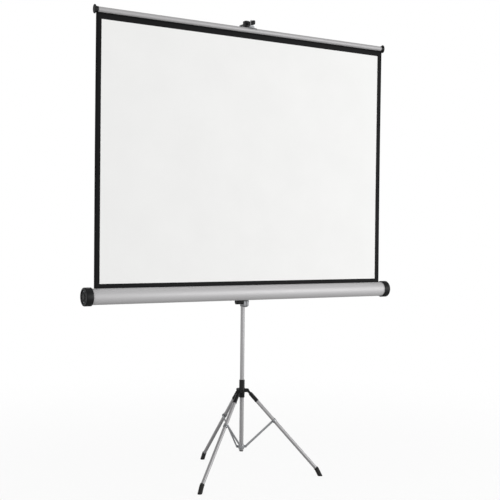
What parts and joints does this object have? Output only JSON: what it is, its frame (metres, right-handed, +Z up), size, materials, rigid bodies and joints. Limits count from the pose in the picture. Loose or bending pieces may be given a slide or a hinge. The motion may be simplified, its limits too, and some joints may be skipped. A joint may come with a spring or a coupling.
{
  "type": "tripod projector screen",
  "caption": "Free-standing projector screen: cloth drawn up from a spring roller case to a hook on a telescoping mast over a folding three-legged stand.",
  "frame": {"origin": "on the floor below the middle of the object's box, between the two front feet and the rear foot", "axes": "+Z up along the column, -Y the way the cloth faces, +X to the right of someone who stands behind the screen's back and looks at its viewers' side reversed, so +X is on the viewer's right"},
  "size_m": [1.5904, 0.5671, 2.0721],
  "materials": {
    "silver_paint": "satin silver enamel on steel tube",
    "zinc": "bright zinc plate",
    "steel": "plain machined steel",
    "black_plastic": "moulded, fine texture",
    "rubber": "moulded, dull",
    "screen_cloth": "matte white viewing cloth with a black border and a black back"
  },
  "bodies": {
    "column": {"column_tube": "silver_paint", "column_plug": "black_plastic", "rod_collar": "black_plastic", "spider": "zinc", "spider_pin_front_left": "steel", "spider_pin_front_right": "steel", "spider_pin_rear": "steel"},
    "rod_knob": {"rod_knob": "black_plastic"},
    "hub": {"hub": "black_plastic", "leg_pin_front_left": "steel", "leg_pin_front_right": "steel", "leg_pin_rear": "steel"},
    "leg_front_left": {"leg_fitting_front_left": "black_plastic", "leg_tube_front_left": "silver_paint", "brace_clip_front_left": "zinc", "foot_front_left": "rubber"},
    "leg_front_right": {"leg_fitting_front_right": "black_plastic", "leg_tube_front_right": "silver_paint", "brace_clip_front_right": "zinc", "foot_front_right": "rubber"},
    "leg_rear": {"leg_fitting_rear": "black_plastic", "leg_tube_rear": "silver_paint", "brace_clip_rear": "zinc", "foot_rear": "rubber"},
    "brace_front_left": {"brace_front_left": "zinc", "brace_rivet_front_left": "steel"},
    "brace_front_right": {"brace_front_right": "zinc", "brace_rivet_front_right": "steel"},
    "brace_rear": {"brace_rear": "zinc", "brace_rivet_rear": "steel"},
    "case": {"case_bracket": "zinc", "clamp_nut": "steel", "case_cradle": "zinc", "swivel_bolt": "steel", "case_shell": "silver_paint", "end_cap_left": "black_plastic", "end_cap_right": "black_plastic", "cap_screw_left_upper": "steel", "cap_screw_left_lower": "steel", "cap_screw_right_upper": "steel", "cap_screw_right_lower": "steel", "spring_arbor": "steel", "roller_spring": "steel", "screen_cloth": "screen_cloth"},
    "case_knob": {"case_knob": "black_plastic", "clamp_bolt": "steel"},
    "roller": {"roller_tube": "zinc", "roller_plug_left": "black_plastic", "roller_plug_right": "black_plastic", "gudgeon_pin": "steel", "spring_anchor": "black_plastic"},
    "rail": {"top_rail": "silver_paint", "rail_cap_left": "black_plastic", "rail_cap_right": "black_plastic", "rail_clip": "zinc"},
    "rod": {"extension_rod": "silver_paint", "rod_glide": "black_plastic", "rod_head": "black_plastic"},
    "hook": {"hook_arm": "black_plastic", "rail_hanger": "zinc"}
  },
  "joints": [
    {"name": "hub_slide", "type": "slide", "parent": "column", "child": "hub", "axis": [0, 0, 1], "range_m": [0, 0.1024]},
    {"name": "leg_fold_front_left", "type": "hinge", "parent": "hub", "child": "leg_front_left", "pos_m": [-0.02252, -0.10674, 0.392], "axis": [0.5, -0.866, 0], "range_deg": [0, 41.7]},
    {"name": "leg_fold_front_right", "type": "hinge", "parent": "hub", "child": "leg_front_right", "pos_m": [0.02252, -0.10674, 0.392], "axis": [0.5, 0.866, 0], "range_deg": [0, 41.7]},
    {"name": "leg_fold_rear", "type": "hinge", "parent": "hub", "child": "leg_rear", "pos_m": [0, -0.06774, 0.392], "axis": [-1, 0, 0], "range_deg": [0, 41.7]},
    {"name": "brace_fold_front_left", "type": "hinge", "parent": "column", "child": "brace_front_left", "pos_m": [-0.01732, -0.10374, 0.132], "axis": [-0.5, 0.866, 0], "range_deg": [0, 44.71]},
    {"name": "brace_fold_front_right", "type": "hinge", "parent": "column", "child": "brace_front_right", "pos_m": [0.01732, -0.10374, 0.132], "axis": [-0.5, -0.866, 0], "range_deg": [0, 44.71]},
    {"name": "brace_fold_rear", "type": "hinge", "parent": "column", "child": "brace_rear", "pos_m": [0, -0.07374, 0.132], "axis": [1, 0, 0], "range_deg": [0, 44.71]},
    {"name": "case_height", "type": "slide", "parent": "column", "child": "case", "axis": [0, 0, 1], "range_m": [-0.16, 0.12]},
    {"name": "case_knob_turn", "type": "hinge", "parent": "case", "child": "case_knob", "pos_m": [-0.03, -0.11374, 0.7995], "axis": [-1, 0, 0], "range_deg": [0, 720]},
    {"name": "screen_lift", "type": "slide", "parent": "case", "child": "rail", "axis": [0, 0, 1], "range_m": [-1.1245, 0], "deforming": ["screen_cloth"]},
    {"name": "roller_turn", "type": "hinge", "parent": "case", "child": "roller", "pos_m": [0, -0.13219, 0.8425], "axis": [1, 0, 0], "range_deg": [0, 4018.2]},
    {"name": "rod_slide", "type": "slide", "parent": "case", "child": "rod", "axis": [0, 0, 1], "range_m": [-0.6582, 0]},
    {"name": "hook_slide", "type": "slide", "parent": "rod", "child": "hook", "axis": [0, -1, 0], "range_m": [0, 0.03]},
    {"name": "rod_knob_turn", "type": "hinge", "parent": "column", "child": "rod_knob", "pos_m": [0, -0.06, 1.211], "axis": [0, 1, 0], "range_deg": [0, 720]}
  ],
  "couplings": [
    {"joint": "leg_fold_front_left", "follows": "hub_slide", "rad_per_m": 7.1066},
    {"joint": "leg_fold_front_right", "follows": "hub_slide", "rad_per_m": 7.1066},
    {"joint": "leg_fold_rear", "follows": "hub_slide", "rad_per_m": 7.1066},
    {"joint": "brace_fold_front_left", "follows": "hub_slide", "rad_per_m": 7.6188},
    {"joint": "brace_fold_front_right", "follows": "hub_slide", "rad_per_m": 7.6188},
    {"joint": "brace_fold_rear", "follows": "hub_slide", "rad_per_m": 7.6188},
    {"joint": "roller_turn", "follows": "screen_lift", "rad_per_m": -62.36},
    {"joint": "rod_slide", "follows": "screen_lift", "ratio": 0.5852}
  ]
}
